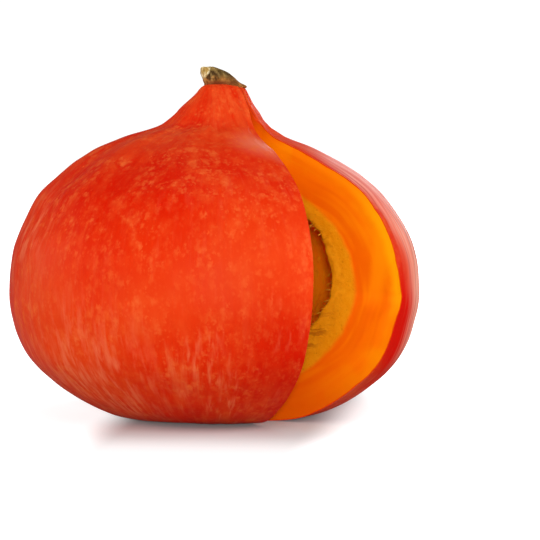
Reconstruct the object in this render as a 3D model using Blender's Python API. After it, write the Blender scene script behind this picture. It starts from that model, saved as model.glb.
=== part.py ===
"""A red kuri kabocha squash with one wedge cut out of it and its seeds scraped away.

It has two pieces: the squash, whose rind and flesh grew as one, and the dry stub of its stem.
Units are metres and +Z is up. The squash stands on the ring round its blossom end, its cut opens
towards -Y, and the origin is under the middle of its box, on the surface that it stands on.
"""
from math import atan2, cos, hypot, pi, radians, sin, tan

import bmesh
import bpy
from mathutils import Matrix, Vector

MM = 0.001

# The skin as (radius, height) in mm, from the blossom end's dimple to the brow of the neck.
# The straight run at height 0 is the ring that the squash stands on.
BLOSSOM_DIMPLE = [(0, 2.2), (9, 1.7)]
STANDING_RING = [(18, 0), (30, 0)]
SKIN = [(30, 0), (48, 3.0), (64.5, 12.5), (77.5, 26), (83.8, 43), (84.9, 56), (82.6, 71), (75.5, 86),
        (66.5, 97.5), (49, 109.5), (34, 116.3), (23.3, 121), (15.8, 128.5), (10.8, 133.5), (8.3, 136.6)]
NECK_DOME = [(8.3, 136.6), (5.2, 138.0), (0, 138.6)]

# Ten shallow lobes, deepest on the shoulder.
LOBES = 10
LOBE_DEPTH = 0.7
LOBE_HEIGHT = 105.0
LOBE_REACH = 30.0

# The middle of each level drifts along LEAN_DIRECTION, (height, drift) in mm: one shoulder is
# fuller than the other, and the neck leans.
LEAN_DIRECTION = Vector((0.722, -0.692, 0.0))
LEAN = [(0, 0), (55, -1.1), (96, -2.6), (114, -5.2), (121, -1.6), (127, 1.2), (136, 4.0)]

# The seed cavity is an egg of these half sizes.
CAVITY_RADIUS = 55.0
CAVITY_HALF_HEIGHT = 41.0
CAVITY_MIDDLE = 60.4

# The wedge cut out of the squash. Its inner edge runs up in front of the middle and leans sideways.
CUT_ANGLE = radians(42.5)
CUT_EDGE_Y = -15.0
CUT_EDGE_X = -2.8
CUT_EDGE_SLOPE = 0.0536
CUT_REACH = 110.0
CUT_BOTTOM = -12.0
CUT_TOP = 160.0

# Level rings up the stem: (height, half width along the lean, half width across it, drift) in mm.
STEM_RINGS = [(137.1, 8.6, 8.3, 4.3), (138.2, 8.1, 7.8, 3.4), (139.6, 7.1, 6.9, 2.1), (141.2, 6.4, 6.0, 0.9),
              (143.0, 5.4, 5.0, -0.4), (144.4, 4.0, 3.9, -1.8), (145.3, 2.1, 2.4, -3.0)]
STEM_RIDGES = 5
STEM_RIDGE_DEPTH = 0.07
GAP = 0.35

SKIN_STEPS = 3
SKIN_SEGMENTS = 60
CAVITY_SEGMENTS = 40
CAVITY_RINGS = 18
STEM_SEGMENTS = 30


def curve_point(before, start, end, after, part):
    """A point on the smooth curve from start to end that its neighbours before and after bend."""
    return tuple(0.5 * (2 * b + (c - a) * part + (2 * a - 5 * b + 4 * c - d) * part ** 2
                        + (3 * b - a - 3 * c + d) * part ** 3)
                 for a, b, c, d in zip(before, start, end, after))


def smooth_outline(points, steps):
    """The points of a smooth curve through all the given ones, with steps to each stretch."""
    padded = [points[0]] + points + [points[-1]]
    curve = [curve_point(*padded[i:i + 4], step / steps)
             for i in range(len(points) - 1) for step in range(steps)]
    return curve + [points[-1]]


def drift_at(height):
    """How far the middle of the level at this height has drifted along LEAN_DIRECTION."""
    for (low, low_drift), (high, high_drift) in zip(LEAN, LEAN[1:]):
        if height <= high:
            part = max(0.0, (height - low) / (high - low))
            return low_drift + (high_drift - low_drift) * part * part * (3 - 2 * part)
    return LEAN[-1][1]


def lobe_at(angle, height):
    """How far the skin stands out at this place for its lobes."""
    window = max(0.0, 1 - abs(height - LOBE_HEIGHT) / LOBE_REACH)
    return LOBE_DEPTH * window * cos(LOBES * angle)


def material(name, colour, roughness):
    """A Principled material of one colour."""
    made = bpy.data.materials.new(name)
    made.use_nodes = True
    shader = made.node_tree.nodes["Principled BSDF"]
    shader.inputs["Base Color"].default_value = (*colour, 1.0)
    shader.inputs["Roughness"].default_value = roughness
    shader.inputs["Metallic"].default_value = 0.0
    return made


def new_object(name, bm, surface, parent):
    """A named object with the mesh of bm, scaled from millimetres, under its parent."""
    bmesh.ops.scale(bm, vec=(MM, MM, MM), verts=bm.verts)
    bmesh.ops.recalc_face_normals(bm, faces=bm.faces)
    mesh = bpy.data.meshes.new(name)
    bm.to_mesh(mesh)
    bm.free()
    mesh.materials.append(surface)
    made = bpy.data.objects.new(name, mesh)
    bpy.context.collection.objects.link(made)
    made.parent = parent
    return made


def cut_away(target, cutter):
    """Cut the cutter's shape out of the target, and leave the cutter as a wire guide."""
    cutter.hide_render = True
    cutter.display_type = "WIRE"
    cut = target.modifiers.new(cutter.name, "BOOLEAN")
    cut.operation = "DIFFERENCE"
    cut.solver = "EXACT"
    cut.material_mode = "TRANSFER"
    cut.object = cutter


def whole_squash(surface, parent):
    """The uncut squash: its outline turned about the middle, then given its lobes and its lean."""
    outline = BLOSSOM_DIMPLE + STANDING_RING[:1] + smooth_outline(SKIN, SKIN_STEPS) + NECK_DOME[1:]
    bm = bmesh.new()
    corners = [bm.verts.new((radius, 0, height)) for radius, height in outline]
    edges = [bm.edges.new(pair) for pair in zip(corners, corners[1:])]
    bmesh.ops.spin(bm, geom=corners + edges, axis=(0, 0, 1), cent=(0, 0, 0), angle=2 * pi,
                   steps=SKIN_SEGMENTS, use_merge=True)
    bmesh.ops.remove_doubles(bm, verts=bm.verts, dist=0.01)
    for vert in bm.verts:
        radius, angle, height = hypot(vert.co.x, vert.co.y), atan2(vert.co.y, vert.co.x), vert.co.z
        radius += lobe_at(angle, height)
        vert.co = Vector((radius * cos(angle), radius * sin(angle), height)) + LEAN_DIRECTION * drift_at(height)
    squash = new_object("squash", bm, surface, parent)
    squash.data.shade_smooth()
    squash.data.set_sharp_from_angle(angle=radians(40))
    return squash


def seed_cavity(surface, parent):
    """The hollow that the seeds were scraped out of."""
    bm = bmesh.new()
    egg = (Matrix.Translation(LEAN_DIRECTION * drift_at(CAVITY_MIDDLE) + Vector((0, 0, CAVITY_MIDDLE)))
           @ Matrix.Diagonal((CAVITY_RADIUS, CAVITY_RADIUS, CAVITY_HALF_HEIGHT, 1)))
    bmesh.ops.create_uvsphere(bm, u_segments=CAVITY_SEGMENTS, v_segments=CAVITY_RINGS, radius=1, matrix=egg)
    cavity = new_object("seed_cavity", bm, surface, parent)
    cavity.data.shade_smooth()
    return cavity


def cut_wedge(surface, parent):
    """The wedge cut out with a knife: a triangle drawn up along its leaning inner edge."""
    half_width = CUT_REACH * tan(CUT_ANGLE / 2)
    foot = Vector((CUT_EDGE_X + CUT_EDGE_SLOPE * CUT_BOTTOM, CUT_EDGE_Y, CUT_BOTTOM))
    corners = [foot, foot + Vector((-half_width, -CUT_REACH, 0)), foot + Vector((half_width, -CUT_REACH, 0))]
    rise = CUT_TOP - CUT_BOTTOM
    bm = bmesh.new()
    foot_face = bm.faces.new([bm.verts.new(corner) for corner in corners])
    raised = bmesh.ops.extrude_face_region(bm, geom=[foot_face])["geom"]
    bmesh.ops.translate(bm, vec=(CUT_EDGE_SLOPE * rise, 0, rise),
                        verts=[item for item in raised if isinstance(item, bmesh.types.BMVert)])
    return new_object("cut_wedge", bm, surface, parent)


def stem_ring(bm, half_along, half_across, drift, height_at):
    """One closed ring of the stem, ridged, with the height that height_at gives for its radius."""
    across = Vector((-LEAN_DIRECTION.y, LEAN_DIRECTION.x, 0))
    neck_middle = LEAN_DIRECTION * drift_at(LEAN[-1][0])
    ring = []
    for step in range(STEM_SEGMENTS):
        angle = 2 * pi * step / STEM_SEGMENTS
        swell = 1 + STEM_RIDGE_DEPTH * cos(STEM_RIDGES * angle)
        level = LEAN_DIRECTION * (drift + swell * half_along * cos(angle)) + across * swell * half_across * sin(angle)
        ring.append(bm.verts.new(level + Vector((0, 0, height_at((level - neck_middle).length)))))
    return ring


def dome_height(radius):
    """The height of the neck's domed top at this radius."""
    for (outer, low), (inner, high) in zip(NECK_DOME, NECK_DOME[1:]):
        if radius >= inner:
            return low + (high - low) * (outer - radius) / (outer - inner)
    return NECK_DOME[-1][1]


def stem_stub(surface, parent):
    """The dry stem, snapped off short and bent over, hollowed underneath to sit on the neck's dome."""
    bm = bmesh.new()
    _, along, across, drift = STEM_RINGS[0]
    neck_drift = drift_at(LEAN[-1][0])
    rings = []
    for share in (0.35, 0.7):
        middle = neck_drift + (drift - neck_drift) * share
        rings.append(stem_ring(bm, along * share, across * share, middle, lambda r: dome_height(r) + GAP))
    for height, along, across, drift in STEM_RINGS:
        rings.append(stem_ring(bm, along, across, drift, lambda r, height=height: height))
    for lower, upper in zip(rings, rings[1:]):
        for step in range(STEM_SEGMENTS):
            after = (step + 1) % STEM_SEGMENTS
            bm.faces.new((lower[step], lower[after], upper[after], upper[step]))
    bm.faces.new(reversed(rings[0]))
    bm.faces.new(rings[-1])
    stem = new_object("stem", bm, surface, parent)
    stem.data.shade_smooth()
    stem.data.set_sharp_from_angle(angle=radians(45))
    return stem


def foot_of_box(pieces):
    """The middle of the pieces' shared box, at its lowest height."""
    graph = bpy.context.evaluated_depsgraph_get()
    places = [piece.matrix_world @ vert.co for piece in pieces
              for vert in piece.evaluated_get(graph).data.vertices]
    low = Vector([min(place[i] for place in places) for i in range(3)])
    high = Vector([max(place[i] for place in places) for i in range(3)])
    return Vector(((low.x + high.x) / 2, (low.y + high.y) / 2, low.z))


for old in list(bpy.data.objects):
    bpy.data.objects.remove(old, do_unlink=True)

rind = material("rind", (0.80, 0.06, 0.01), 0.4)
flesh = material("flesh", (0.95, 0.30, 0.01), 0.55)
cork = material("stem_cork", (0.24, 0.15, 0.05), 0.85)

middle_line = bpy.data.objects.new("middle_line", None)
bpy.context.collection.objects.link(middle_line)

squash_body = whole_squash(rind, middle_line)
cut_away(squash_body, seed_cavity(flesh, middle_line))
cut_away(squash_body, cut_wedge(flesh, middle_line))
stub = stem_stub(cork, middle_line)

middle_line.location = -foot_of_box([squash_body, stub])
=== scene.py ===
"""A red kuri squash standing on a pale table, with one wedge cut out of it.

The squash grew in one piece: a thin waxy rind, a thick wall of flesh, and the stringy lining that held
the seeds, which are scraped out. The dry stub of the stem sits on its neck.
"""
import random
from math import cos, exp, pi, radians, sin

import bpy
import numpy as np
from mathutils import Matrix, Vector, noise


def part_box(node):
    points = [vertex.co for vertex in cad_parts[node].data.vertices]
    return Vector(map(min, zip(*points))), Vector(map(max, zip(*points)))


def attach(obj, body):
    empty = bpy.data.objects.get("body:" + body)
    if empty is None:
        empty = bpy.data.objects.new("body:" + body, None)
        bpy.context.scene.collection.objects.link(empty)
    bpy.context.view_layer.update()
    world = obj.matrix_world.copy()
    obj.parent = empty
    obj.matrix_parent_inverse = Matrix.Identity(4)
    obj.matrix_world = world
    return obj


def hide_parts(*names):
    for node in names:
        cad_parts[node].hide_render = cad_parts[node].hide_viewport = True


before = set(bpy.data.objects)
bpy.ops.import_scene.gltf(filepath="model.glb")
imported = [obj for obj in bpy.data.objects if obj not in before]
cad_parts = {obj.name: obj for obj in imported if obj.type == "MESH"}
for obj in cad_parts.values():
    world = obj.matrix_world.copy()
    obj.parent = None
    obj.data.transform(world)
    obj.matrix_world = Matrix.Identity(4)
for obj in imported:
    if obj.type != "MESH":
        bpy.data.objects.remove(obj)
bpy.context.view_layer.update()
bpy.ops.object.select_all(action="DESELECT")

MM = 0.001

# ---------------------------------------------------------------------------------------------
# The squash
# One piece: rind, flesh and lining grew together. It is turned from its outline in levels, then
# each level is shifted, lobed and dented, and opened where the knife took the wedge. Four sheets,
# the skin, the cavity's wall and the two cut faces, are sewn into one closed body.
# ---------------------------------------------------------------------------------------------

# The skin's outline as (radius, height) in mm, from the blossom scar to the top of the neck.
SKIN_OUTLINE = [(0, 2.9), (3, 2.7), (5, 1.9), (10, 1.3), (18, 0.2), (25, 0), (32, 0.2), (46.8, 3.0),
                (63.9, 12.5), (77.7, 26), (84.0, 43), (85.1, 56), (83.1, 71), (75.6, 86), (65.8, 97.5),
                (48.1, 109.5), (32.4, 116.3), (22.2, 121), (15.3, 128.5), (11.1, 133.5), (8.8, 136.4),
                (5.2, 138.0), (0, 138.6)]

# How far the squash's middle has drifted along LEAN_DIRECTION, in mm at each height.
LEAN_DIRECTION = np.array((0.722, -0.692, 0.0))
ACROSS_LEAN = np.array((-0.692, -0.722, 0.0))
LEAN = np.array([(0, 0), (16, -0.5), (42, -0.5), (55, -0.3), (80, -0.5), (96, -1.6), (115.5, -4.5),
                 (122, 0.2), (127, 1.2), (136, 3.1), (140, 3.1)])

# How far the skin goes in and out, in mm: lobes round the shoulder, flutes round the neck, broad dents,
# small dimples, and fine ridges that run up it.
SHOULDER_HEIGHT = 105
SHOULDER_HALF = 30
NECK_FOOT = 108
NECK_TOP = 139
LOBES = 10
LOBE_DEPTH = 0.7
FLUTE_DEPTH = 0.55
DENT_DEPTH = 0.6
DIMPLE_DEPTH = 0.22
RIDGE_DEPTH = 0.16

# The outline of the seed cavity is half an oval, and so is the outer one of the stringy lining. The
# cavity's wall has broad lumps, small knobs, and roots of torn strings that run up it, in mm.
CAVITY_RADIUS = 54.0
CAVITY_HALF_HEIGHT = 40.2
CAVITY_MIDDLE = 59.0
LUMP_DEPTH = 1.3
KNOB_DEPTH = 0.6
ROOT_DEPTH = 0.6
LINING_RADIUS = 65.0
LINING_HALF_HEIGHT = 47.0
LINING_MIDDLE = 55.4

# The two cuts meet in an edge that leans sideways, in front of the squash's middle.
CUT_ANGLE = radians(42.5)
CUT_FOOT = np.array((-2.8, -15.0, 0.0))
CUT_EDGE = np.array((0.0536, 0.0, 1.0))

# How far the knife wandered into the flesh along the rind of the cut on +X, in mm at each height. The
# marks of the knife on both cut faces, and the torn ones near the cavity, fade towards the faces' edges.
KNIFE_WANDER = np.array([(4, -1.5), (20, -2.0), (36, -2.2), (45, -1.4), (52, 0.9), (58, -0.6), (66, -2.6),
                         (76, -2.2), (90, -2.2), (100, -2.8), (108, -2.8), (115, -1.5), (121, 0)])
KNIFE_MARKS = 0.25
TORN_MARKS = 0.5
TORN_WIDTH = 4
MARKS_FADE = 2.5

# The shoulder sags beside that cut, and the knife scored a line up the neck. Their angles go round the
# squash from +X, and the rest is in mm, but for the sag's spread round the squash, in radians.
SAG_ANGLE = radians(-78)
SAG_HEIGHT = 106
SAG_DEPTH = 1.7
SAG_SPREAD_ROUND = 0.23
SAG_SPREAD_UP = 9
SCORE_ANGLE = radians(-75.5)
SCORE_FOOT = 116
SCORE_TOP = 138
SCORE_WIDTH = 0.42
SCORE_DEPTH = 0.6

# The scraped edge of the cavity is rounded off: how far back it lies behind the cut, and how wide the
# rounding is.
LIP_DEPTH = 1.3
LIP_WIDTH = 2.6

# How fine the sheets are: the step between their rows in mm, and the columns of each.
ROW_STEP = 1.3
SKIN_COLUMNS = 330
CAVITY_COLUMNS = 90
CUT_COLUMNS = 44


def smooth_curve(points, steps=24):
    """Close points on a smooth curve through all the given ones."""
    padded = np.array([points[0], *points, points[-1]], float)
    part = np.arange(steps)[:, None] / steps
    stretches = [0.5 * (2 * b + (c - a) * part + (2 * a - 5 * b + 4 * c - d) * part ** 2
                        + (3 * b - a - 3 * c + d) * part ** 3)
                 for a, b, c, d in zip(padded, padded[1:], padded[2:], padded[3:])]
    return np.vstack([*stretches, padded[-1:]])


def measured(curve):
    """The curve's points, each after its distance along the curve and with its outward direction."""
    distance = np.concatenate([[0], np.cumsum(np.hypot(*np.diff(curve, axis=0).T))])
    heading = np.gradient(curve, distance, axis=0)
    return np.column_stack([distance, curve, heading[:, 1], -heading[:, 0]])


def read_at(table, distance):
    """Radius, height and outward direction (out, up) at this distance along a measured curve."""
    return [np.interp(distance, table[:, 0], table[:, i]) for i in range(1, 5)]


def ramp(value, start, end):
    """Nought up to the start, one from the end on, and a straight rise between them."""
    return min(1.0, max(0.0, (value - start) / (end - start)))


def ripple(x, y, z, size, seed=0.0):
    """Smooth noise from -1 to 1 with features of about this size."""
    return noise.noise(Vector((x / size + seed, y / size - seed, z / size + 2 * seed)))


def drift_at(height):
    """How far this level's middle has drifted along LEAN_DIRECTION."""
    i = int(np.clip(np.searchsorted(LEAN[:, 0], height) - 1, 0, len(LEAN) - 2))
    (low, low_drift), (high, high_drift) = LEAN[i], LEAN[i + 1]
    part = ramp(height, low, high)
    return low_drift + (high_drift - low_drift) * part * part * (3 - 2 * part)


def apart(angle, other, radius=1.0):
    """The distance between two directions on a circle of this radius."""
    return radius * (2 * (1 - cos(angle - other))) ** 0.5


def score(angle, radius, height):
    """The scored line on the neck: one in it and nought beside it."""
    beside = apart(angle, SCORE_ANGLE, radius) / SCORE_WIDTH
    return exp(-beside ** 2) * ramp(height, SCORE_FOOT, SCORE_FOOT + 4)


def skin_relief(angle, distance, radius, height):
    """How far the skin stands out for its lobes, dents and ridges, less the sag and the scored line."""
    x, y = radius * cos(angle), radius * sin(angle)
    shoulder = max(0.0, 1 - abs(height - SHOULDER_HEIGHT) / SHOULDER_HALF)
    neck = ramp(height, NECK_FOOT, NECK_FOOT + 12) * ramp(height, NECK_TOP, NECK_TOP - 8)
    lobes = LOBE_DEPTH * shoulder * cos(LOBES * angle)
    flutes = FLUTE_DEPTH * neck * ripple(3 * cos(angle), 3 * sin(angle), height / 60, 0.9)
    dents = DENT_DEPTH * ripple(x, y, height, 30) + DIMPLE_DEPTH * ripple(x, y, height, 9, 3.1)
    ridges = RIDGE_DEPTH * ripple(85 * cos(angle), 85 * sin(angle), distance * 0.12, 6, 7.7)
    sag = -SAG_DEPTH * exp(-(apart(angle, SAG_ANGLE) / SAG_SPREAD_ROUND) ** 2
                           - ((height - SAG_HEIGHT) / SAG_SPREAD_UP) ** 2)
    cut = -SCORE_DEPTH * score(angle, radius, height) * ramp(height, SCORE_TOP, SCORE_TOP - 2)
    return (lobes + flutes + sag + cut + (dents + ridges) * min(1.0, distance / 40)) * min(1.0, radius / 6)


def cavity_relief(angle, distance, radius, height):
    """How far the scraped wall stands into the flesh: lumps, and the roots of torn strings."""
    x, y = radius * cos(angle), radius * sin(angle)
    lumps = LUMP_DEPTH * ripple(x, y, height, 16, 1.7) + KNOB_DEPTH * ripple(x, y, height, 6, 4.2)
    roots = ROOT_DEPTH * ripple(50 * cos(angle), 50 * sin(angle), distance * 0.7, 1.9, 9.1)
    return (lumps + roots) * min(1.0, radius / 8)


half_oval = [(CAVITY_RADIUS * sin(pi * i / 60), CAVITY_MIDDLE - CAVITY_HALF_HEIGHT * cos(pi * i / 60))
             for i in range(61)]
SURFACES = {"skin": (measured(smooth_curve(SKIN_OUTLINE)), skin_relief),
            "cavity": (measured(smooth_curve(half_oval, 4)), cavity_relief)}


def surface_point(name, angle, distance):
    """A point of the skin or of the cavity's wall, in mm from the foot of the squash's middle line."""
    table, relief = SURFACES[name]
    radius, height, out, up = read_at(table, distance)
    stand = relief(angle, distance, radius, height)
    radius, height = max(0.0, radius + stand * out), max(0.0, height + stand * up)
    return LEAN_DIRECTION * drift_at(height) + (radius * cos(angle), radius * sin(angle), height)


def into_flesh(side):
    """The direction square to a cut, into the flesh: side is 1 for the cut on +X and -1 for the other."""
    along_cut = np.array((side * sin(CUT_ANGLE / 2), -cos(CUT_ANGLE / 2), 0.0))
    square = side * np.cross(CUT_EDGE, along_cut)
    return square / np.linalg.norm(square)


def solved(amount, low, high, halvings=36):
    """Where the amount, which is below nought at low and above it at high, is nought."""
    for _ in range(halvings):
        middle = (low + high) / 2
        low, high = (middle, high) if amount(middle) < 0 else (low, middle)
    return (low + high) / 2


def cut_angle(name, distance, side):
    """The angle at which this level of the surface meets the cut on this side."""
    square = into_flesh(side)
    wander = 0.0
    if name == "skin" and side == 1:
        wander = np.interp(read_at(SURFACES[name][0], distance)[1], *KNIFE_WANDER.T)
    return solved(lambda angle: square @ (surface_point(name, angle, distance) - CUT_FOOT) - wander,
                  -pi / 2 - side * radians(40), -pi / 2 + side * radians(60))


def opening(name, distance):
    """The angle between the two cuts at this level, below nought where the knife didn't reach."""
    return cut_angle(name, distance, 1) - cut_angle(name, distance, -1)


def levels(name, open_rows=None):
    """Distances of the surface's rows, and the first and last rows that the wedge opens."""
    table = SURFACES[name][0]
    end, widest = table[-1, 0], table[np.argmax(table[:, 1]), 0]
    low = solved(lambda distance: opening(name, distance), end * 0.02, widest)
    high = solved(lambda distance: opening(name, distance), end * 0.98, widest)
    counts = [max(6, round(span / ROW_STEP)) for span in (low, high - low, end - high)]
    counts[1] = open_rows or counts[1]
    distances = np.concatenate([np.linspace(0, low, counts[0] + 1),
                                np.linspace(low, high, counts[1] + 1)[1:],
                                np.linspace(high, end, counts[2] + 1)[1:]])
    return distances, counts[0], counts[0] + counts[1]


def surface_sheet(name, distances, first, last, columns, set_back=0.0):
    """Rows of points on the surface, from the cut on +X round the back to the cut on -X.

    They are set back from both cuts by this much, in mm, and by less near the ends of the cuts.
    """
    seams = {end: cut_angle(name, distances[end], 1) for end in (first, last)}
    rows = []
    for i, distance in enumerate(distances):
        if first < i < last:
            near_seam = min(1.0, min(i - first, last - i) / 12)
            back = set_back * near_seam / max(10.0, read_at(SURFACES[name][0], distance)[0])
            start = cut_angle(name, distance, 1) + back
            stop = cut_angle(name, distance, -1) + 2 * pi - back
        else:
            start = seams[first if i <= first else last]
            stop = start + 2 * pi
        rows.append([surface_point(name, start + (stop - start) * j / columns, distance)
                     for j in range(columns + 1)])
    return np.array(rows)


def cut_sheet(skin_edge, cavity_edge, side):
    """Rows of points on a cut face, from the rind to the cavity, and how far each is from the rind."""
    share = np.linspace(0, 1, CUT_COLUMNS + 1)
    share = 0.5 * share + 0.25 * (1 - np.cos(pi * share))
    square = into_flesh(side)
    behind = (cavity_edge - CUT_FOOT) @ square
    lip = cavity_edge - square * behind[:, None]
    rows = skin_edge[:, None] + (lip - skin_edge)[:, None] * share[:, None]
    from_edge = np.linalg.norm(rows - (CUT_FOOT + CUT_EDGE * rows[..., 2:]), axis=-1)
    from_rind = np.linalg.norm(rows - skin_edge[:, None], axis=-1)
    from_cavity = np.linalg.norm(rows - lip[:, None], axis=-1)
    fade = np.clip(np.minimum(np.minimum(from_rind, from_cavity), from_edge - 0.5) / MARKS_FADE, 0, 1)
    fade[[0, -1]] = 0
    rounding = 1 - np.sqrt(1 - np.clip(1 - from_cavity / LIP_WIDTH, 0, 1) ** 2)
    rows += square * (behind[:, None] * rounding)[..., None]
    for i, j in np.ndindex(fade.shape):
        x, y, z = rows[i, j]
        drag = KNIFE_MARKS * ripple(from_rind[i, j], 0, z * 0.15, 5, 2.3 * side)
        by_cavity = np.clip(1 - (from_cavity[i, j] - TORN_WIDTH) / 5, 0, 1)
        torn = by_cavity * TORN_MARKS * ripple(x, y, z, 2.6, 5.9)
        rows[i, j] += square * fade[i, j] * (drag + torn)
    return rows, from_rind


def lining_distance(points):
    """How far each point lies outside the stringy lining, in mm."""
    radius, height = np.hypot(points[..., 0], points[..., 1]), points[..., 2] - LINING_MIDDLE
    share = np.sqrt((radius / LINING_RADIUS) ** 2 + (height / LINING_HALF_HEIGHT) ** 2)
    return np.hypot(radius, height) * (1 - 1 / np.maximum(share, 0.05))


def scored_at(rows):
    """How far each point of the skin lies in the scored line, from nought to one."""
    upright = rows - LEAN_DIRECTION * np.vectorize(drift_at)(rows[..., 2:])
    scored = [score(np.arctan2(y, x), np.hypot(x, y), z) for x, y, z in upright.reshape(-1, 3)]
    return np.array(scored)


def shaped_grid(name, rows, material, values):
    """A grid primitive with its vertices laid on these rows of points, and values on its vertices."""
    down, across = rows.shape[0] - 1, rows.shape[1] - 1
    bpy.ops.mesh.primitive_grid_add(x_subdivisions=across, y_subdivisions=down, size=1)
    sheet = bpy.context.object
    sheet.name = name
    sheet.data.vertices.foreach_set("co", (rows * MM).astype(np.float32).ravel())
    sheet.data.materials.append(material)
    for attribute, numbers in values.items():
        made = sheet.data.attributes.new(attribute, "FLOAT", "POINT")
        made.data.foreach_set("value", numbers.astype(np.float32).ravel())
    return sheet


def sewn(name, sheets, seam, crease):
    """One closed body from sheets whose edges meet within the seam, smooth up to the crease's angle."""
    bpy.ops.object.select_all(action="DESELECT")
    for sheet in sheets:
        sheet.select_set(True)
    bpy.context.view_layer.objects.active = sheets[0]
    if len(sheets) > 1:
        bpy.ops.object.join()
    body = bpy.context.object
    body.name = name
    bpy.ops.object.mode_set(mode="EDIT")
    bpy.ops.mesh.select_all(action="SELECT")
    bpy.ops.mesh.remove_doubles(threshold=seam * MM)
    bpy.ops.mesh.normals_make_consistent(inside=False)
    bpy.ops.object.mode_set(mode="OBJECT")
    bpy.ops.object.shade_smooth_by_angle(angle=radians(crease))
    return body


def node(tree, kind, settings=None, **inputs):
    """A shader node with its settings, and its inputs linked or set by name, or by number as i0, i1."""
    made = tree.nodes.new(kind)
    for setting, value in (settings or {}).items():
        setattr(made, setting, value)
    for key, value in inputs.items():
        numbered = key[0] == "i" and key[1:].isdigit()
        socket = made.inputs[int(key[1:]) if numbered else key.replace("_", " ")]
        if isinstance(value, bpy.types.NodeSocket):
            tree.links.new(value, socket)
        else:
            socket.default_value = value
    return made


def maths(tree, operation, *values):
    """The result of one Math node."""
    made = node(tree, "ShaderNodeMath", {"operation": operation},
                **{f"i{n}": value for n, value in enumerate(values)})
    return made.outputs[0]


def vectors(tree, operation, *values, output="Vector", **named):
    """The result of one Vector Math node."""
    made = node(tree, "ShaderNodeVectorMath", {"operation": operation},
                **{f"i{n}": value for n, value in enumerate(values)}, **named)
    return made.outputs[output]


def scaled(tree, value, factor, plus):
    """The value multiplied by the factor, and the last number or value added."""
    return maths(tree, "MULTIPLY_ADD", value, factor, plus)


def without(tree, mask, share):
    """One, less this share where the mask is one."""
    return scaled(tree, mask, -share, 1.0)


def product(tree, *values):
    """Masks and numbers multiplied together."""
    result = values[0]
    for value in values[1:]:
        result = maths(tree, "MULTIPLY", result, value)
    return result


def between(tree, value, low, high):
    """Nought at low, one at high, and a smooth rise between them, whichever of the two is larger."""
    made = node(tree, "ShaderNodeMapRange", {"interpolation_type": "SMOOTHSTEP"},
                Value=value, From_Min=low, From_Max=high)
    return made.outputs[0]


def near(tree, place, centre, reach):
    """A mask, one at this centre and nought from this reach outwards, both in mm."""
    away = vectors(tree, "DISTANCE", place, [number * MM for number in centre], output="Value")
    return between(tree, away, reach * MM, 0.0)


def slope(tree, place, direction):
    """How far the place lies along this direction."""
    return vectors(tree, "DOT_PRODUCT", place, direction, output="Value")


def blend(tree, share, first, second):
    """A mix of two colours."""
    made = node(tree, "ShaderNodeMix", {"data_type": "RGBA"}, i0=share, i6=first, i7=second)
    return made.outputs[2]


def layered(tree, base, *layers):
    """Colours laid over the base one after the other, each given as its mask and itself."""
    for mask, tint in layers:
        base = blend(tree, mask, base, tint)
    return base


def speckle(tree, place, scale, detail=2.0, rough=0.5, warp=0.0):
    """The value of a Noise node."""
    made = node(tree, "ShaderNodeTexNoise", Vector=place, Scale=scale, Detail=detail, Roughness=rough,
                Distortion=warp)
    return made.outputs[0]


def object_place(tree):
    """The place on the object, in metres."""
    return node(tree, "ShaderNodeTexCoord").outputs["Object"]


def height_of(tree, place):
    """The height of this place."""
    return node(tree, "ShaderNodeSeparateXYZ", Vector=place).outputs["Z"]


def attribute(tree, name):
    """A value kept on the mesh."""
    return node(tree, "ShaderNodeAttribute", {"attribute_name": name}).outputs["Fac"]


def colour(red, green, blue):
    """A colour for a socket, from screen values out of 255."""
    def linear(value):
        value /= 255
        return value / 12.92 if value <= 0.04045 else ((value + 0.055) / 1.055) ** 2.4
    return (linear(red), linear(green), linear(blue), 1.0)


def new_material(name, roughness):
    """A material with only its Principled shader, and the tree and shader to build on."""
    made = bpy.data.materials.new(name)
    made.use_nodes = True
    shader = made.node_tree.nodes["Principled BSDF"]
    shader.inputs["Roughness"].default_value = roughness
    return made, made.node_tree, shader


def bumped(tree, height, strength, distance, normal=None):
    """The normal of a Bump node."""
    made = node(tree, "ShaderNodeBump", Height=height, Strength=strength, Distance=distance)
    if normal:
        tree.links.new(normal, made.inputs["Normal"])
    return made.outputs[0]


def new_group(name, inputs, output):
    """A node group with these sockets. Those called Place hold a place, and the others a number."""
    group = bpy.data.node_groups.new(name, "ShaderNodeTree")
    for way, sockets in (("INPUT", inputs), ("OUTPUT", [output])):
        for socket in sockets:
            kind = "NodeSocketVector" if socket == "Place" else "NodeSocketFloat"
            group.interface.new_socket(socket, in_out=way, socket_type=kind)
    return group


def put_out(group, value):
    """The value leaves the group through its one output."""
    group.links.new(value, group.nodes.new("NodeGroupOutput").inputs[0])


def drawn_out(group, given):
    """The place given to the group, so that patterns on it are drawn out upwards when Along is under 1."""
    factors = node(group, "ShaderNodeCombineXYZ", X=1.0, Y=1.0, Z=given["Along"]).outputs[0]
    return vectors(group, "MULTIPLY", given["Place"], factors)


# Round the squash: a place on its surface as if it were a straight tube, so that a pattern runs up it.
TUBE_RADIUS = 82
round_squash = new_group("round the squash", [], "Place")
flat = vectors(round_squash, "MULTIPLY", object_place(round_squash), (1, 1, 0))
spoke = vectors(round_squash, "NORMALIZE", flat)
rim = vectors(round_squash, "SCALE", spoke, Scale=TUBE_RADIUS * MM)
run_up = maths(round_squash, "MULTIPLY", attribute(round_squash, "run"), MM)
rise = node(round_squash, "ShaderNodeCombineXYZ", Z=run_up).outputs[0]
put_out(round_squash, vectors(round_squash, "ADD", rim, rise))

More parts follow.
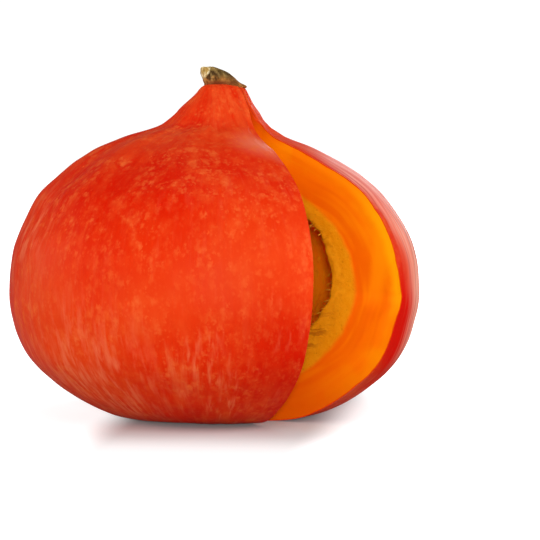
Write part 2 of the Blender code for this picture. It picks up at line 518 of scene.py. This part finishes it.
# Flecks: soft-edged spots where noise rises from Low to High.
fleck_group = new_group("flecks", ["Place", "Scale", "Along", "Low", "High", "Detail"], "Mask")
given = fleck_group.nodes.new("NodeGroupInput").outputs
cloud = speckle(fleck_group, drawn_out(fleck_group, given), given["Scale"], given["Detail"], 0.6, 0.3)
put_out(fleck_group, between(fleck_group, cloud, given["Low"], given["High"]))

# Spots: scattered soft dots, each of its own size, with ragged edges.
spot_group = new_group("spots", ["Place", "Scale", "Along", "Size", "Ragged"], "Mask")
given = spot_group.nodes.new("NodeGroupInput").outputs
finer = vectors(spot_group, "SCALE", drawn_out(spot_group, given), Scale=given["Scale"])
shake = node(spot_group, "ShaderNodeTexNoise", Vector=finer, Scale=2.3, Detail=2.0).outputs["Color"]
shake = vectors(spot_group, "SUBTRACT", shake, (0.5, 0.5, 0.5))
shake = vectors(spot_group, "SCALE", shake, Scale=given["Ragged"])
shaken = vectors(spot_group, "ADD", finer, shake)
cell = node(spot_group, "ShaderNodeTexVoronoi", Vector=shaken, Scale=1.0, Randomness=1.0).outputs
lot = node(spot_group, "ShaderNodeSeparateColor", Color=cell["Color"]).outputs[0]
reach = scaled(spot_group, between(spot_group, lot, 0.3, 1.0), given["Size"], 0.01)
put_out(spot_group, between(spot_group, cell["Distance"], reach, 0.0))


def flecks(tree, place, scale, low, high, along=1.0, detail=2.0):
    """The mask of a flecks group."""
    return node(tree, "ShaderNodeGroup", {"node_tree": fleck_group}, Place=place, Scale=scale, Along=along,
                Low=low, High=high, Detail=detail).outputs["Mask"]


def spots(tree, place, scale, size, along=1.0, ragged=0.7):
    """The mask of a spots group."""
    return node(tree, "ShaderNodeGroup", {"node_tree": spot_group}, Place=place, Scale=scale, Along=along,
                Size=size, Ragged=ragged).outputs["Mask"]


def round_place(tree):
    """The place of a round the squash group."""
    return node(tree, "ShaderNodeGroup", {"node_tree": round_squash}).outputs["Place"]


# Parts of the skin, each as its middle and its reach in mm: deeper red, paler, red on the neck, a painted
# highlight on the neck beside the cut, and streaked. CALM holds parts with fewer marks, and the share that
# they lack.
DEEP_RED = [((-67, -16, 93), 46), ((-52, -24, 105), 34), ((-36, -70, 32), 50), ((-15, -74, 20), 34),
            ((70, 42, 88), 50), ((10, 84, 34), 44), ((58, -62, 40), 30), ((52, -58, 22), 34)]
PALER = [((-79, -5, 28), 46), ((-83, 12, 58), 40), ((-52, -69, 64), 36), ((-75, -40, 52), 28),
         ((-20, -80, 72), 34), ((3, -17, 124), 12), ((60, 60, 40), 40), ((-30, 78, 66), 44)]
NECK_RED = ((-20, -7, 120), 18)
NECK_HIGHLIGHT = ((-9.5, -39, 112), 17)
STREAKED = [((-70, -6, 20), 52), ((-74, 32, 76), 36)]
CALM = [((-38, -76, 42), 52, 0.85), ((-84, -13, 64), 50, 0.65)]

# Beside the cut on +X the skin is a clean deep red, and on the neck it is dull: middles and reach in mm.
CLEAN_RED = ((44, -74, 40), 50)
DULL_NECK = ((14, -30, 114), 24)

# A painted sheen runs up the flank past that clean red: a pale pink band of painted reflection, with lighter
# streaks and dark lines in it. The measure along the first slope below falls from the cut round the flank to
# the back, and the band's edge by the cut is where it comes to the edge value below, in metres. The measure
# along PAST_CUT grows from the cut on, so that the other flank has no such band.
SHEEN_SLOPE = (*ACROSS_LEAN[:2], -0.16)
SHEEN_EDGE = 0.0240
PAST_CUT = (1.552, 0.174, 0)


def ripe_red(tree, here):
    """The skin's ground colour: orange-red, deeper and paler in parts, with a painted highlight on the neck.
    """
    red = blend(tree, flecks(tree, here, 32, 0.36, 0.64, 1.0, 3.0), colour(202, 29, 0), colour(209, 43, 3))
    for parts, share, tint in ((DEEP_RED, 0.8, colour(192, 17, 0)),
                               (PALER, 0.6, colour(215, 66, 20)),
                               ([NECK_RED], 0.8, colour(202, 18, 0)),
                               # a painted highlight on the neck beside the cut
                               ([NECK_HIGHLIGHT], 0.7, colour(230, 128, 96))):
        for centre, reach in parts:
            red = blend(tree, product(tree, near(tree, here, centre, reach), share), red, tint)
    return red


def painted_sheen_band(tree, here, tube, height):
    """The painted sheen up the flank: its mask, and its pale pink of painted reflection, with lighter threads
    and dark lines.
    """
    slant = slope(tree, here, SHEEN_SLOPE)
    threads = flecks(tree, tube, 250, 0.40, 0.60, 0.05, 2.0)
    edge = scaled(tree, threads, 0.010, slant)
    band = product(tree, between(tree, edge, SHEEN_EDGE + 0.010, SHEEN_EDGE - 0.002),
                   between(tree, slant, -0.026, -0.012),
                   between(tree, height, 0.014, 0.030),
                   between(tree, slope(tree, here, PAST_CUT), 0.008, 0.026),
                   without(tree, between(tree, height, 0.096, 0.116), 0.85))
    sheen_dark_lines = product(tree, flecks(tree, tube, 340, 0.52, 0.64, 0.04), between(tree, slant, 0.030, 0.018))
    upper = between(tree, height, 0.076, 0.096)
    pink = blend(tree, between(tree, slant, 0.028, 0.015), colour(218, 66, 36), colour(228, 126, 102))
    pink = layered(tree, pink,
                   (product(tree, threads, 0.62), colour(240, 178, 158)),
                   (product(tree, sheen_dark_lines, 0.85), colour(172, 66, 58)),
                   (product(tree, upper, scaled(tree, threads, -0.45, 0.8)), colour(214, 66, 44)))
    return band, pink


def rind_material():
    """Waxy orange-red skin: salmon dots in loose clusters, streaks running up it, bands on the neck, a
    painted highlight on the neck, a painted sheen up one flank, and painted shade in the scored line.
    """
    made, tree, shader = new_material("rind", 0.42)
    here, tube = object_place(tree), round_place(tree)
    height = height_of(tree, here)
    neck = between(tree, height, 0.104, 0.120)
    flank = between(tree, height, 0.060, 0.020)
    calm = 1.0
    for centre, reach, share in CALM:
        calm = product(tree, calm, without(tree, near(tree, here, centre, reach), share))

    soft = product(tree, flecks(tree, tube, 130, 0.42, 0.72, 0.30, 3.0), calm)
    clusters = product(tree, flecks(tree, here, 52, 0.36, 0.60), calm)
    crowd = scaled(tree, clusters, 0.7, 0.3)
    mottle = product(tree, flecks(tree, here, 165, 0.42, 0.70, 0.85, 5.0), crowd)
    blots = product(tree, spots(tree, here, 185, 0.78, 0.75, 1.3), clusters)
    dots = product(tree, spots(tree, here, 340, 0.78, 0.75, 1.1), crowd)
    pricks = product(tree, spots(tree, here, 640, 0.74, 0.9, 0.8), crowd)
    dashes = product(tree, spots(tree, tube, 300, 0.75, 0.16, 1.2), scaled(tree, flank, 0.8, 0.2), clusters)
    lines = product(tree, flecks(tree, tube, 380, 0.50, 0.70, 0.18), flecks(tree, here, 40, 0.40, 0.62))
    streaks = [product(tree, flecks(tree, tube, 300, 0.45, 0.68, 0.26, 4.0), near(tree, here, centre, reach))
               for centre, reach in STREAKED]
    bands = product(tree, flecks(tree, tube, 66, 0.30, 0.66, 0.05), neck,
                    without(tree, near(tree, here, *NECK_RED), 0.9))
    clean = between(tree, near(tree, here, *CLEAN_RED), 0.12, 0.65)
    red = layered(tree, ripe_red(tree, here),
                  (product(tree, soft, scaled(tree, flank, 0.35, 0.15)), colour(217, 74, 26)),
                  (product(tree, mottle, 0.42), colour(219, 82, 30)),
                  (product(tree, blots, 0.58), colour(221, 98, 42)),
                  (product(tree, dots, 0.5), colour(222, 102, 46)),
                  (product(tree, pricks, 0.3), colour(222, 106, 52)),
                  (product(tree, dashes, 0.45), colour(222, 116, 68)),
                  (product(tree, lines, scaled(tree, flank, 0.5, 0.08)), colour(224, 112, 72)),
                  *[(product(tree, streak, 0.55), colour(226, 116, 78)) for streak in streaks],
                  (product(tree, bands, 0.42), colour(220, 80, 32)),
                  (clean, colour(206, 14, 0)),
                  # painted sheen: a pale pink band of painted reflection up the flank beside the cut
                  painted_sheen_band(tree, here, tube, height),
                  # the scored groove on the neck, painted dark red as shade in the groove
                  (product(tree, attribute(tree, "scored"), 0.8), colour(150, 14, 0)))
    tree.links.new(red, shader.inputs["Base Color"])

    dull = maths(tree, "MAXIMUM", clean, near(tree, here, *DULL_NECK))
    tree.links.new(scaled(tree, dull, 0.4, scaled(tree, dots, 0.1, 0.44)), shader.inputs["Roughness"])
    shader.inputs["Specular IOR Level"].default_value = 0.025
    ribs = speckle(tree, vectors(tree, "MULTIPLY", tube, (1, 1, 0.10)), 300, 3.0, 0.6, 0.3)
    normal = bumped(tree, ribs, 0.28, 0.0006)
    normal = bumped(tree, speckle(tree, here, 900, 2.0), 0.12, 0.0002, normal)
    normal = bumped(tree, blots, 0.2, 0.0002, normal)
    tree.links.new(normal, shader.inputs["Normal"])
    return made


def lining_ring(tree, here, height, from_rind, to_ring):
    """The cut edge of the lining: mustard, with light fibres, dark spots, and torn strokes inwards."""
    inner = between(tree, to_ring, -1.0, -8.0)
    fibres = flecks(tree, here, 520, 0.36, 0.66, 0.8, 3.0)
    strokes_up = scaled(tree, speckle(tree, here, 300, 1.0), 0.003, height)
    strokes = node(tree, "ShaderNodeCombineXYZ", X=maths(tree, "MULTIPLY", from_rind, 0.16 * MM),
                   Z=strokes_up).outputs[0]
    off_middle = maths(tree, "MAXIMUM", between(tree, height, 0.050, 0.038),
                       between(tree, height, 0.068, 0.080))
    torn = product(tree, flecks(tree, strokes, 560, 0.50, 0.62), between(tree, to_ring, -3.5, -8.5),
                   off_middle)
    return layered(tree, blend(tree, inner, colour(206, 124, 2), colour(196, 121, 6)),
                   (product(tree, fibres, 0.5), colour(214, 138, 14)),
                   (product(tree, spots(tree, here, 900, 0.55, 0.8, 0.9), 0.45), colour(160, 92, 0)),
                   (product(tree, torn, 0.75), colour(146, 74, 2)))


def flesh_material():
    """Cut flesh: yellow-orange under the rind, deeper orange inwards, and a mustard stringy ring, with
    painted shade towards the top and bottom of the cut.
    """
    made, tree, shader = new_material("cut flesh", 0.5)
    here = object_place(tree)
    height = height_of(tree, here)
    from_rind, to_ring = attribute(tree, "rind_depth"), attribute(tree, "lining_depth")
    wander = scaled(tree, speckle(tree, here, 120, 2.0), 4.0, -2.0)
    wide = maths(tree, "ADD", from_rind, maths(tree, "MAXIMUM", to_ring, 0.0))
    share = maths(tree, "DIVIDE", maths(tree, "ADD", from_rind, wander), wide)

    layers = node(tree, "ShaderNodeCombineXYZ", X=maths(tree, "MULTIPLY", from_rind, MM),
                  Z=maths(tree, "MULTIPLY", height, 0.16)).outputs[0]
    streaks = speckle(tree, layers, 210, 2.0)
    glow = product(tree, between(tree, share, 0.62, 0.20), flecks(tree, here, 46, 0.44, 0.60))
    outwards = scaled(tree, wander, 0.0004, slope(tree, here, (*LEAN_DIRECTION[:2], -0.114)))
    pale_streak = product(tree, between(tree, outwards, 0.0555, 0.0590),
                          between(tree, outwards, 0.0645, 0.0605),
                          between(tree, height, 0.044, 0.058), between(tree, height, 0.092, 0.078))
    flank = product(tree, between(tree, height, 0.040, 0.056), between(tree, height, 0.104, 0.080))
    rim = product(tree, between(tree, maths(tree, "ADD", from_rind, wander), 6.0, 1.5),
                  scaled(tree, flank, 0.75, 0.15))
    # Painted shade: the flesh darkens towards both ends of the cut, and more at its top by the notch's apex.
    ends = maths(tree, "MAXIMUM", between(tree, height, 0.030, 0.004), between(tree, height, 0.110, 0.124))
    top = between(tree, height, 0.115, 0.126)
    rind_width = scaled(tree, speckle(tree, here, 260, 2.0), 0.5, 0.1)
    rind = between(tree, maths(tree, "DIVIDE", from_rind, rind_width), 1.8, 0.6)
    ring = between(tree, maths(tree, "ADD", to_ring, maths(tree, "MULTIPLY", wander, 0.5)), 1.4, -1.4)
    flesh = blend(tree, between(tree, share, 0.15, 0.95), colour(236, 112, 0), colour(220, 90, 0))
    flesh = layered(tree, flesh,
                    (product(tree, glow, 0.55), colour(236, 136, 0)),
                    (product(tree, between(tree, streaks, 0.50, 0.70), 0.45), colour(236, 130, 2)),
                    (product(tree, between(tree, streaks, 0.46, 0.30), 0.35), colour(218, 80, 0)),
                    (product(tree, pale_streak, 0.6), colour(240, 136, 2)),
                    (rim, colour(240, 158, 2)),
                    # painted shade towards both ends of the cut
                    (product(tree, ends, 0.75), colour(203, 66, 0)),
                    # painted shade, deeper, at the top of the cut
                    (product(tree, top, 0.7), colour(190, 40, 0)),
                    (rind, colour(214, 58, 4)),
                    (ring, lining_ring(tree, here, height, from_rind, to_ring)))
    tree.links.new(flesh, shader.inputs["Base Color"])

    tree.links.new(scaled(tree, ring, 0.2, 0.45), shader.inputs["Roughness"])
    shader.inputs["Specular IOR Level"].default_value = 0.04
    normal = bumped(tree, speckle(tree, here, 700, 3.0, 0.6), 0.2, 0.0003)
    fibrous = product(tree, ring, speckle(tree, here, 1100, 3.0, 0.6))
    tree.links.new(bumped(tree, fibrous, 0.5, 0.0005, normal), shader.inputs["Normal"])
    return made


def lining_material():
    """The scraped wall of the seed cavity: moist and stringy, and deeper orange in its upper part."""
    made, tree, shader = new_material("seed lining", 0.55)
    here = object_place(tree)
    strings = speckle(tree, vectors(tree, "MULTIPLY", round_place(tree), (1, 1, 0.2)), 420, 4.0, 0.6, 0.4)
    upper = between(tree, height_of(tree, here), 0.054, 0.070)
    base = blend(tree, between(tree, strings, 0.35, 0.65), colour(255, 128, 2), colour(255, 148, 8))
    base = layered(tree, base,
                   (product(tree, flecks(tree, here, 240, 0.5, 0.7), 0.5), colour(214, 98, 2)),
                   (product(tree, upper, 0.4), colour(244, 100, 0)))
    tree.links.new(base, shader.inputs["Base Color"])
    shader.inputs["Specular IOR Level"].default_value = 0.06
    shader.inputs["Subsurface Weight"].default_value = 0.75
    shader.inputs["Subsurface Radius"].default_value = (1.0, 0.5, 0.1)
    shader.inputs["Subsurface Scale"].default_value = 0.012
    tree.links.new(bumped(tree, strings, 0.5, 0.0012), shader.inputs["Normal"])
    return made


skin_levels, skin_first, skin_last = levels("skin")
cavity_levels, cavity_first, cavity_last = levels("cavity", skin_last - skin_first)
skin_rows = surface_sheet("skin", skin_levels, skin_first, skin_last, SKIN_COLUMNS)
cavity_rows = surface_sheet("cavity", cavity_levels, cavity_first, cavity_last, CAVITY_COLUMNS, LIP_DEPTH)

# The middle line's foot comes to where the skin's middle is the middle of the CAD squash, in mm.
skin_points = skin_rows.reshape(-1, 3)
skin_middle = (skin_points.min(0) + skin_points.max(0)) / 2
cad_middle = (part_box("squash")[0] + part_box("squash")[1]) / 2
shift = np.array((cad_middle.x / MM - skin_middle[0], cad_middle.y / MM - skin_middle[1], 0))


def squash_sheet(name, rows, material, **values):
    """A sheet of the squash with the values that its materials read, which are nought if not given."""
    blank = np.zeros(rows.shape[:2])
    kept = {value: values.get(value, blank) for value in ("rind_depth", "lining_depth", "run", "scored")}
    return shaped_grid(name, rows + shift, material, kept)


def run_over(rows, distances):
    """How far up the surface each point of its rows lies."""
    return np.repeat(distances[:, None], rows.shape[1], axis=1)


sheets = [squash_sheet("skin", skin_rows, rind_material(), lining_depth=lining_distance(skin_rows),
                       run=run_over(skin_rows, skin_levels), scored=scored_at(skin_rows)),
          squash_sheet("cavity", cavity_rows, lining_material(), lining_depth=lining_distance(cavity_rows),
                       run=run_over(cavity_rows, cavity_levels))]
flesh_look = flesh_material()
for side, column in ((1, 0), (-1, -1)):
    cut_rows, from_rind = cut_sheet(skin_rows[skin_first:skin_last + 1, column],
                                    cavity_rows[cavity_first:cavity_last + 1, column], side)
    sheets.append(squash_sheet("cut", cut_rows, flesh_look, rind_depth=from_rind,
                               lining_depth=lining_distance(cut_rows)))

# Torn strings of the lining stand along the cavity's two cut edges, bunched at these shares of the way
# from the first open row to the last, and spread by so many rows. Lengths and radii are in mm.
STRINGS = 150
STRING_BUNCHES = (0.2, 0.4, 0.76)
STRING_SPREAD = 8
STRING_LENGTH = (0.8, 3.6)
STRING_RADIUS = (0.12, 0.34)
STRING_CURL = 0.7
STRING_SINK = 0.6
STRINGS_POINT_TO = np.array((0, 8, CAVITY_MIDDLE))
STRINGS_STRAY = 24


def string_material():
    """Torn strings of the lining: olive-brown, and straw-coloured where they are dry."""
    made, tree, shader = new_material("torn strings", 0.7)
    dry = flecks(tree, object_place(tree), 420, 0.35, 0.65)
    tree.links.new(blend(tree, dry, colour(146, 84, 8), colour(214, 148, 36)), shader.inputs["Base Color"])
    shader.inputs["Specular IOR Level"].default_value = 0.1
    return made


def string_rows(root, along, length, thick, curl):
    """Rings of points along a string that tapers from its root and droops."""
    share = np.linspace(0, 1, 7)[:, None]
    side = np.cross(along, (0.0, 0.0, 1.0))
    side /= np.linalg.norm(side)
    over = np.cross(side, along)
    droop = length * share ** 2 * (0, 0, 0.35)
    line = root + along * (length * share - STRING_SINK) + side * curl * np.sin(3 * share) - droop
    turn = np.linspace(0, 2 * pi, 7)
    ring = side * np.cos(turn)[:, None] + over * np.sin(turn)[:, None]
    width = thick * np.sqrt(np.clip(np.minimum(1 - share, 8 * share), 0, 1))
    return line[:, None] + ring * width[:, None]


chance = random.Random(5)
string_look = string_material()
for _ in range(STRINGS):
    edge_column = chance.choice((0, -1))
    bunch = cavity_first + (cavity_last - cavity_first) * chance.choice(STRING_BUNCHES)
    level = round(bunch + chance.gauss(0, STRING_SPREAD))
    root = cavity_rows[min(max(level, cavity_first + 1), cavity_last - 1), edge_column]
    inward = STRINGS_POINT_TO - root + [chance.gauss(0, STRINGS_STRAY) for _ in range(3)]
    torn_rows = string_rows(root, inward / np.linalg.norm(inward), chance.uniform(*STRING_LENGTH),
                            chance.uniform(*STRING_RADIUS), chance.gauss(0, STRING_CURL))
    sheets.append(squash_sheet("string", torn_rows, string_look))

squash = sewn("cut_squash", sheets, seam=0.01, crease=38)
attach(squash, "root")
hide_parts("squash")

# ---------------------------------------------------------------------------------------------
# The stem's stub
# A dried, corky stub that grew on the neck and leans: broken off pale at its high end, ridged along its
# length, and spread over the neck in a thin collar whose far end is a ragged flap.
# ---------------------------------------------------------------------------------------------

# From under the collar to the broken end, in mm: height, and how far the stub reaches along its lean
# backwards and forwards and to its two sides, from the squash's middle line. A smooth curve of STEM_STEPS
# rows runs from each of these levels to the next.
STEM_LEVELS = [(135.8, 4.0, 4.0, 0.0, 0.0), (136.1, -1.5, 9.5, 4.0, 5.0), (136.2, -3.8, 12.4, 5.7, 7.2),
               (136.8, -4.4, 13.2, 6.2, 7.6), (137.5, -4.6, 12.7, 6.3, 7.6), (138.4, -4.7, 10.7, 6.0, 7.4),
               (139.5, -5.1, 9.1, 5.8, 7.0), (141.0, -5.5, 7.3, 5.4, 6.4), (142.2, -5.8, 5.9, 4.9, 5.6),
               (143.0, -5.9, 4.9, 4.5, 5.0), (144.0, -5.8, 2.9, 3.8, 4.2), (144.7, -5.5, 0.9, 3.0, 3.3),
               (145.1, -4.8, -1.2, 1.8, 2.0), (145.0, -3.2, -3.2, 0.0, 0.0)]
STEM_STEPS = 6
STEM_COLUMNS = 180

# The stub's relief is faint on the collar, grows from its top upwards, and makes the broken end rough.
COLLAR_LAST_ROW = 20
COLLAR_TOP = 137.0
COLLAR_SADDLE = 137.2
END_FIRST_ROW = 57
STEM_TOP = 145.25


def stem_relief(angle, row, x, y, z):
    """How far the stub's surface stands out for its ridges, folds and knots, from about -1 to 1 mm."""
    twist = angle + 0.012 * row
    ridges = ripple(4.2 * cos(twist), 4.2 * sin(twist), row * 0.03, 1.0, 5.3)
    folds = ripple(x, y, z, 2.4, 8.8)
    fine = ripple(9 * cos(twist), 9 * sin(twist), row * 0.08, 1.0, 2.9)
    return 0.75 * ridges + 0.45 * folds + 0.3 * fine


def stem_point(angle, row, height, back, front, near_side, far_side):
    """A point of the stub's surface, in mm, and how far it stands out there."""
    half = (front - back) / 2
    side = near_side if sin(angle) > 0 else far_side
    stand = stem_relief(angle, row, half * cos(angle), side * sin(angle), height) if half > 0.05 else 0.0
    upright = ramp(height, COLLAR_TOP, COLLAR_TOP + 2) if row > COLLAR_LAST_ROW else 0.25
    swell = 1 + 0.75 * upright * stand / max(3.0, half)
    low = max(0.0, 1 - max(0.0, height - COLLAR_SADDLE) / 3.5)
    saddle = low * sin(angle) ** 2 * 0.45 * min(1.0, half)
    rough = 0.45 * stand * (row >= END_FIRST_ROW) * min(1.0, half)
    along = (front + back) / 2 + half * cos(angle) * swell
    level = min(STEM_TOP, height + saddle + rough)
    return LEAN_DIRECTION * along + ACROSS_LEAN * side * sin(angle) * swell + (0, 0, level), stand


def on_stem(along, across, height):
    """A place on the stub, in mm: along its lean, across it, and its height."""
    return LEAN_DIRECTION * along + ACROSS_LEAN * across + (0, 0, height) + shift


PALE_END = (on_stem(-4.6, 2.0, 143.3), 5.2)
# Painted shade on one upper edge of the stub: middle and reach in mm.
SHADED_EDGE = (on_stem(6.2, 2.5, 142.2), 6.5)
# Painted shade of a crevice, stretched upwards: middle and reach in mm.
CREVICE_SHADE = (on_stem(-1.4, 5.0, 141.4), 6.0)
CREVICE_SHADE_STRETCH = (1, 1, 1.6)
# A painted shadow where the stub meets the neck: middle and reach in mm.
FOOT_SHADOW = (on_stem(1.5, 5.5, 137.2), 12.0)


def stem_material():
    """Dry cork: olive and straw ridges, a tan collar and a pale broken end, with painted shade in its
    hollows, in a crevice and on one edge, and a painted shadow at its foot.
    """
    made, tree, shader = new_material("dry stem", 0.8)
    here = object_place(tree)
    height = height_of(tree, here)
    stands_out = attribute(tree, "stands_out")
    cork = blend(tree, flecks(tree, here, 420, 0.36, 0.62, 0.5, 3.0),
                 colour(86, 64, 22), colour(132, 106, 54))
    woody = blend(tree, flecks(tree, here, 500, 0.36, 0.62, 0.8, 3.0),
                  colour(120, 70, 16), colour(182, 118, 56))
    straw = blend(tree, flecks(tree, here, 700, 0.4, 0.6, 0.5), colour(172, 138, 74), colour(232, 216, 170))
    # painted shade of a crevice in the cork
    crevice_shade = near(tree, vectors(tree, "MULTIPLY", here, CREVICE_SHADE_STRETCH), CREVICE_SHADE[0] * CREVICE_SHADE_STRETCH,
                   CREVICE_SHADE[1])
    crevice_shade = product(tree, between(tree, crevice_shade, 0.15, 0.6), flecks(tree, here, 380, 0.30, 0.50))
    pale_end = between(tree, near(tree, here, *PALE_END), 0.24, 0.50)
    # painted shade where the relief sinks in, less on the pale end
    hollows = product(tree, between(tree, stands_out, -0.08, -0.5), scaled(tree, pale_end, -0.35, 0.7))
    ridges = between(tree, stands_out, 0.12, 0.5)
    # painted shadow where the stub meets the neck
    foot = product(tree, between(tree, height, 0.1400, 0.1384), near(tree, here, *FOOT_SHADOW))
    cork = layered(tree, cork,
                   (product(tree, between(tree, height, 0.1425, 0.1395), 0.9), woody),
                   # painted shade on one upper edge of the stub
                   (product(tree, near(tree, here, *SHADED_EDGE), 0.85), colour(66, 40, 8)),
                   # painted shade of a crevice
                   (product(tree, crevice_shade, 0.9), colour(58, 34, 4)),
                   (pale_end, straw),
                   # painted shade in the hollows of the relief
                   (hollows, colour(70, 42, 8)),
                   (product(tree, ridges, 0.35), colour(178, 144, 84)),
                   # painted shadow at the stub's foot
                   (foot, colour(104, 40, 6)))
    tree.links.new(cork, shader.inputs["Base Color"])
    tree.links.new(scaled(tree, pale_end, 0.1, 0.75), shader.inputs["Roughness"])
    shader.inputs["Specular IOR Level"].default_value = 0.15
    tree.links.new(bumped(tree, speckle(tree, here, 1500, 4.0, 0.7), 0.6, 0.0004), shader.inputs["Normal"])
    return made


stem_turns = [2 * pi * column / STEM_COLUMNS for column in range(STEM_COLUMNS + 1)]
stem_rows, stem_stands = [], []
for row, level in enumerate(smooth_curve(STEM_LEVELS, STEM_STEPS)):
    points, stands = zip(*[stem_point(angle, row, *level) for angle in stem_turns])
    stem_rows.append(points)
    stem_stands.append(stands)
stub_sheet = shaped_grid("stem_stub", np.array(stem_rows) + shift, stem_material(),
                         {"stands_out": np.array(stem_stands)})
stub = sewn("stem_stub", [stub_sheet], seam=0.005, crease=50)
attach(stub, "root")
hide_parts("stem")

# ---------------------------------------------------------------------------------------------
# The table, the lights and the camera
# A plain pale table under soft studio light, seen through a long lens from slightly above. Two narrow
# lights shine into the cavity, which the soft lights leave dark.
# ---------------------------------------------------------------------------------------------

CAMERA_TURN = radians(-43.75)
CAMERA_RISE = radians(3)
CAMERA_DISTANCE = 1.0
CAMERA_LEVEL = 0.0667
AIM_RIGHT = 0.02275
AIM_DOWN = 0.006
SOFT_LIGHT_LEVEL = 0.07
SPOT_DISTANCE = 1.1
SPOT_ANGLE = radians(3.2)
SPOT_RADIUS = 0.02

# The table glows a little for the camera, and less in a strip under the squash: the strip's middle and turn,
# and where the glow grows from and to, beside the strip, past its ends and again along it, in metres.
STRIP_MIDDLE = (0.0137, -0.0007, 0.0)
STRIP_TURN = radians(-52)
STRIP_SIDES = (0.034, 0.056)
STRIP_ENDS = (0.16, 0.34)
STRIP_CORE = (0.055, 0.140)
GLOW_UNDER = 0.05
GLOW_BESIDE = 0.72
GLOW_ALONG = 0.46

bpy.ops.object.select_all(action="DESELECT")
bpy.ops.mesh.primitive_plane_add(size=8)
table = bpy.context.object
table.name = "table"
pale, tree, shader = new_material("pale table", 0.9)
shader.inputs["Base Color"].default_value = (0.58, 0.58, 0.58, 1)
shader.inputs["Specular IOR Level"].default_value = 0.0
shader.inputs["Emission Color"].default_value = (1, 1, 1, 1)
turned = node(tree, "ShaderNodeMapping", {"vector_type": "TEXTURE"}, Vector=object_place(tree),
              Location=STRIP_MIDDLE, Rotation=(0, 0, STRIP_TURN)).outputs[0]
turned = node(tree, "ShaderNodeSeparateXYZ", Vector=turned).outputs
across, along = maths(tree, "ABSOLUTE", turned["X"]), maths(tree, "ABSOLUTE", turned["Y"])
beside = maths(tree, "MAXIMUM", between(tree, across, *STRIP_SIDES), between(tree, along, *STRIP_ENDS))
glow = scaled(tree, beside, GLOW_BESIDE, GLOW_UNDER)
glow = scaled(tree, between(tree, along, *STRIP_CORE), GLOW_ALONG, glow)
seen = node(tree, "ShaderNodeLightPath").outputs["Is Camera Ray"]
tree.links.new(maths(tree, "MULTIPLY", glow, seen), shader.inputs["Emission Strength"])
table.data.materials.append(pale)

world = bpy.data.worlds.new("studio")
world.use_nodes = True
bpy.context.scene.world = world
sky = world.node_tree
background = sky.nodes["Background"]
seen = node(sky, "ShaderNodeLightPath").outputs["Is Camera Ray"]
sky.links.new(scaled(sky, seen, 0.90, 0.20), background.inputs["Strength"])
background.inputs["Color"].default_value = (1, 1, 1, 1)


def towards(turn, rise):
    """The direction turned this far round the squash from -Y, to the right as seen from there, and raised."""
    return Vector((sin(turn) * cos(rise), -cos(turn) * cos(rise), sin(rise)))


def on_middle_line(height):
    """A place on the squash's middle line, in metres."""
    return Vector((shift[0] * MM, shift[1] * MM, height))


def soft_light(name, turn, rise, distance, size, power):
    """A square soft light aimed at the squash: turned right of the camera, in degrees, and raised."""
    way = towards(radians(turn) + CAMERA_TURN, radians(rise))
    bpy.ops.object.light_add(type="AREA", location=Vector((0, 0, SOFT_LIGHT_LEVEL)) + way * distance)
    lamp = bpy.context.object
    lamp.name = name
    lamp.data.energy = power
    lamp.data.size = size
    lamp.rotation_euler = (-way).to_track_quat("-Z", "Y").to_euler()


def narrow_light(name, aim, way, power):
    """A narrow light on this place, from SPOT_DISTANCE away in this direction."""
    bpy.ops.object.light_add(type="SPOT", location=aim + way * SPOT_DISTANCE)
    lamp = bpy.context.object
    lamp.name = name
    lamp.data.energy = power
    lamp.data.spot_size = SPOT_ANGLE
    lamp.data.spot_blend = 1.0
    lamp.data.shadow_soft_size = SPOT_RADIUS
    lamp.rotation_euler = way.to_track_quat("Z", "Y").to_euler()


right = Vector((cos(CAMERA_TURN), sin(CAMERA_TURN), 0))
to_camera = towards(CAMERA_TURN, CAMERA_RISE)
soft_light("light over the camera", 1, 5, 1.15, 0.1, 6.9)
soft_light("high front light", 0, 40, 1.7, 1.0, 7.0)
soft_light("right front light", 45, 30, 1.7, 1.0, 4.2)
soft_light("right light", 98, 15, 1.7, 0.8, 12.5)
soft_light("right back light", 165, 12, 1.7, 0.7, 5.5)
soft_light("left front light", -60, 12, 1.7, 1.0, 6.4)
soft_light("left light", -100, 12, 1.7, 1.0, 9.6)
soft_light("overhead light", 0, 89, 1.7, 1.0, 4.6)
wall_seen = on_middle_line(0.055) + right * 0.046
narrow_light("light into the cavity", wall_seen, to_camera, 7.8)
narrow_light("light through the cut", on_middle_line(0.056), towards(0, radians(8)), 9.0)

eye = on_middle_line(CAMERA_LEVEL) + to_camera * CAMERA_DISTANCE
aim = on_middle_line(CAMERA_LEVEL) + right * AIM_RIGHT - Vector((0, 0, AIM_DOWN))
bpy.ops.object.camera_add(location=eye)
camera = bpy.context.object
camera.rotation_euler = (aim - eye).to_track_quat("-Z", "Y").to_euler()
camera.data.lens = 160
camera.data.sensor_width = 36
camera.data.clip_start = 0.01
bpy.context.scene.camera = camera
bpy.context.scene.view_settings.view_transform = "Standard"
